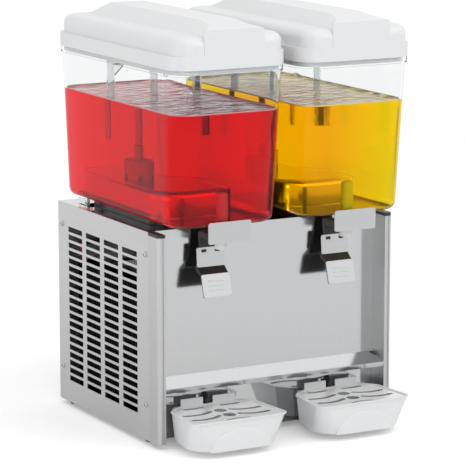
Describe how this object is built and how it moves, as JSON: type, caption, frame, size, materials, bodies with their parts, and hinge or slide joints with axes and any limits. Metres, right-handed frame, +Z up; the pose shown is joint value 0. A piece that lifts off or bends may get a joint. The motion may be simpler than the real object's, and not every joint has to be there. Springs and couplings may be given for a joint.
{
  "type": "juice dispenser",
  "caption": "Counter-top cold juice dispenser with clear lidded bowls side by side on a slotted steel cabinet, push-lever taps and removable drip trays.",
  "frame": {"origin": "on the floor under the middle of the machine's width and depth", "axes": "+Z up, -Y towards the taps, +X to the right as seen from the front"},
  "size_m": [0.4348, 0.466, 0.68],
  "materials": {
    "satin_steel": "satin brushed",
    "mirror_steel": "polished",
    "post_metal": "satin",
    "black_plastic": "matte",
    "white_plastic": "satin gloss",
    "clear_plastic": "clear gloss",
    "juice_red": "liquid",
    "juice_yellow": "liquid",
    "rubber": "matte",
    "copper": "drawn",
    "compressor_paint": "satin",
    "zinc_steel": "galvanised",
    "magnet": "matte"
  },
  "bodies": {
    "cabinet": {"base_pan": "zinc_steel", "rubber_feet": "rubber", "left_side_panel": "satin_steel", "right_side_panel": "satin_steel", "rear_panel": "satin_steel", "front_posts": "post_metal", "post_caps": "black_plastic", "front_panel": "mirror_steel", "lower_front_panel": "mirror_steel", "top_deck": "satin_steel", "panel_screws": "zinc_steel", "tray_catches": "black_plastic", "compressor": "compressor_paint", "condenser": "compressor_paint", "fan_bracket": "zinc_steel", "fan_motor": "compressor_paint", "refrigerant_pipes": "copper", "evaporator_coils": "copper", "control_box": "black_plastic", "switch_frames": "black_plastic", "cable_gland": "black_plastic", "evaporators": "satin_steel", "bowl_seals": "rubber", "pump_motors": "zinc_steel", "pump_covers": "white_plastic"},
    "fan": {"condenser_fan": "compressor_paint"},
    "left_pump_rocker_key": {"left_pump_rocker": "black_plastic"},
    "cooling_rocker_key": {"cooling_rocker": "black_plastic"},
    "right_pump_rocker_key": {"right_pump_rocker": "black_plastic"},
    "left_drive": {"left_drive_magnet": "magnet"},
    "left_wheel": {"left_impeller": "white_plastic"},
    "left_bowl_unit": {"left_bowl": "clear_plastic", "left_juice": "juice_red", "left_tap_body": "white_plastic", "left_tap_cover": "satin_steel", "left_lever_pin": "zinc_steel", "left_tap_spring": "zinc_steel"},
    "left_lid_unit": {"left_lid": "white_plastic"},
    "left_spray": {"left_spray_tube": "clear_plastic"},
    "left_lever_unit": {"left_lever": "black_plastic", "left_push_plates": "satin_steel"},
    "left_piston": {"left_tap_piston": "white_plastic"},
    "left_tray": {"left_drip_tray": "white_plastic"},
    "left_grille": {"left_drip_grille": "white_plastic"},
    "right_drive": {"right_drive_magnet": "magnet"},
    "right_wheel": {"right_impeller": "white_plastic"},
    "right_bowl_unit": {"right_bowl": "clear_plastic", "right_juice": "juice_yellow", "right_tap_body": "white_plastic", "right_tap_cover": "satin_steel", "right_lever_pin": "zinc_steel", "right_tap_spring": "zinc_steel"},
    "right_lid_unit": {"right_lid": "white_plastic"},
    "right_spray": {"right_spray_tube": "clear_plastic"},
    "right_lever_unit": {"right_lever": "black_plastic", "right_push_plates": "satin_steel"},
    "right_piston": {"right_tap_piston": "white_plastic"},
    "right_tray": {"right_drip_tray": "white_plastic"},
    "right_grille": {"right_drip_grille": "white_plastic"}
  },
  "joints": [
    {"name": "fan_spin", "type": "hinge", "parent": "cabinet", "child": "fan", "pos_m": [-0.129, 0.063, 0.13], "axis": [1, 0, 0], "continuous": true},
    {"name": "left_pump_rocker_tip", "type": "hinge", "parent": "cabinet", "child": "left_pump_rocker_key", "pos_m": [-0.034, 0.22, 0.305], "axis": [1, 0, 0], "range_deg": [0, 16]},
    {"name": "cooling_rocker_tip", "type": "hinge", "parent": "cabinet", "child": "cooling_rocker_key", "pos_m": [0, 0.22, 0.305], "axis": [1, 0, 0], "range_deg": [0, 16]},
    {"name": "right_pump_rocker_tip", "type": "hinge", "parent": "cabinet", "child": "right_pump_rocker_key", "pos_m": [0.034, 0.22, 0.305], "axis": [1, 0, 0], "range_deg": [0, 16]},
    {"name": "left_drive_spin", "type": "hinge", "parent": "cabinet", "child": "left_drive", "pos_m": [-0.114, 0.063, 0.35], "axis": [0, 0, 1], "continuous": true},
    {"name": "left_impeller_spin", "type": "hinge", "parent": "cabinet", "child": "left_wheel", "pos_m": [-0.114, 0.063, 0.41], "axis": [0, 0, 1], "continuous": true},
    {"name": "left_bowl_lift", "type": "slide", "parent": "cabinet", "child": "left_bowl_unit", "axis": [0, 0, 1], "range_m": [0, 0.12]},
    {"name": "left_lid_lift", "type": "slide", "parent": "left_bowl_unit", "child": "left_lid_unit", "axis": [0, 0, 1], "range_m": [0, 0.1]},
    {"name": "left_spray_tube_lift", "type": "slide", "parent": "left_bowl_unit", "child": "left_spray", "axis": [0, 0, 1], "range_m": [0, 0.04]},
    {"name": "left_lever_push", "type": "hinge", "parent": "left_bowl_unit", "child": "left_lever_unit", "pos_m": [-0.114, -0.178, 0.338], "axis": [1, 0, 0], "range_deg": [0, 14], "stiffness_Nm_per_rad": 0.6, "springref_deg": -8.59},
    {"name": "left_piston_rise", "type": "slide", "parent": "left_bowl_unit", "child": "left_piston", "axis": [0, 0, 1], "range_m": [0, 0.0075], "deforming": ["left_tap_spring"]},
    {"name": "left_tray_pull", "type": "slide", "parent": "cabinet", "child": "left_tray", "axis": [0, -1, 0], "range_m": [0, 0.12]},
    {"name": "left_grille_lift", "type": "slide", "parent": "left_tray", "child": "left_grille", "axis": [0, 0, 1], "range_m": [0, 0.03]},
    {"name": "right_drive_spin", "type": "hinge", "parent": "cabinet", "child": "right_drive", "pos_m": [0.114, 0.063, 0.35], "axis": [0, 0, 1], "continuous": true},
    {"name": "right_impeller_spin", "type": "hinge", "parent": "cabinet", "child": "right_wheel", "pos_m": [0.114, 0.063, 0.41], "axis": [0, 0, 1], "continuous": true},
    {"name": "right_bowl_lift", "type": "slide", "parent": "cabinet", "child": "right_bowl_unit", "axis": [0, 0, 1], "range_m": [0, 0.12]},
    {"name": "right_lid_lift", "type": "slide", "parent": "right_bowl_unit", "child": "right_lid_unit", "axis": [0, 0, 1], "range_m": [0, 0.1]},
    {"name": "right_spray_tube_lift", "type": "slide", "parent": "right_bowl_unit", "child": "right_spray", "axis": [0, 0, 1], "range_m": [0, 0.04]},
    {"name": "right_lever_push", "type": "hinge", "parent": "right_bowl_unit", "child": "right_lever_unit", "pos_m": [0.114, -0.178, 0.338], "axis": [1, 0, 0], "range_deg": [0, 14], "stiffness_Nm_per_rad": 0.6, "springref_deg": -8.59},
    {"name": "right_piston_rise", "type": "slide", "parent": "right_bowl_unit", "child": "right_piston", "axis": [0, 0, 1], "range_m": [0, 0.0075], "deforming": ["right_tap_spring"]},
    {"name": "right_tray_pull", "type": "slide", "parent": "cabinet", "child": "right_tray", "axis": [0, -1, 0], "range_m": [0, 0.12]},
    {"name": "right_grille_lift", "type": "slide", "parent": "right_tray", "child": "right_grille", "axis": [0, 0, 1], "range_m": [0, 0.03]}
  ],
  "couplings": [
    {"joint": "left_impeller_spin", "follows": "left_drive_spin", "ratio": 1},
    {"joint": "left_piston_rise", "follows": "left_lever_push", "m_per_rad": 0.03},
    {"joint": "right_impeller_spin", "follows": "right_drive_spin", "ratio": 1},
    {"joint": "right_piston_rise", "follows": "right_lever_push", "m_per_rad": 0.03}
  ]
}
